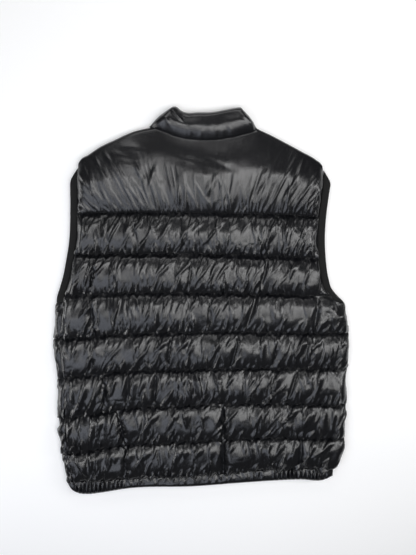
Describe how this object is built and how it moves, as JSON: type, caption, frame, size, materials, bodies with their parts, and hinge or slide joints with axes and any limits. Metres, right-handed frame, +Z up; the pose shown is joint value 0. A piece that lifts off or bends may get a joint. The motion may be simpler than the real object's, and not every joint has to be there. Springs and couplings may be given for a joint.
{
  "type": "puffer vest",
  "caption": "Sleeveless down-filled vest with quilted channels, a padded stand collar, bound armholes and a gathered hem, zipped up and laid flat face down.",
  "frame": {"origin": "centre of the footprint, on the surface that the vest lies on", "axes": "+Y from the hem to the collar, +Z up out of the back, +X to the wearer's right; the fronts and the zip are underneath"},
  "size_m": [0.571, 0.7599, 0.0333],
  "materials": {
    "black_nylon": "glossy coated nylon, down-filled",
    "black_elastic": "matte knitted elastic",
    "black_tape": "matte woven tape",
    "black_plastic": "moulded teeth",
    "blackened_metal": "satin black"
  },
  "bodies": {
    "vest": {"back_panel": "black_nylon", "front_left": "black_nylon", "front_right": "black_nylon", "collar": "black_nylon", "hem_back": "black_nylon", "hem_front_left": "black_nylon", "hem_front_right": "black_nylon", "armhole_binding_left": "black_elastic", "armhole_binding_right": "black_elastic", "zip_tape_left": "black_tape", "zip_tape_right": "black_tape", "zip_chain": "black_plastic", "zip_slider": "blackened_metal"},
    "pull": {"zip_pull": "blackened_metal"}
  },
  "joints": [
    {"name": "pull_hinge", "type": "hinge", "parent": "vest", "child": "pull", "pos_m": [0.008, 0.307, 0.0019], "axis": [1, 0, 0], "range_deg": [0, 165]}
  ]
}
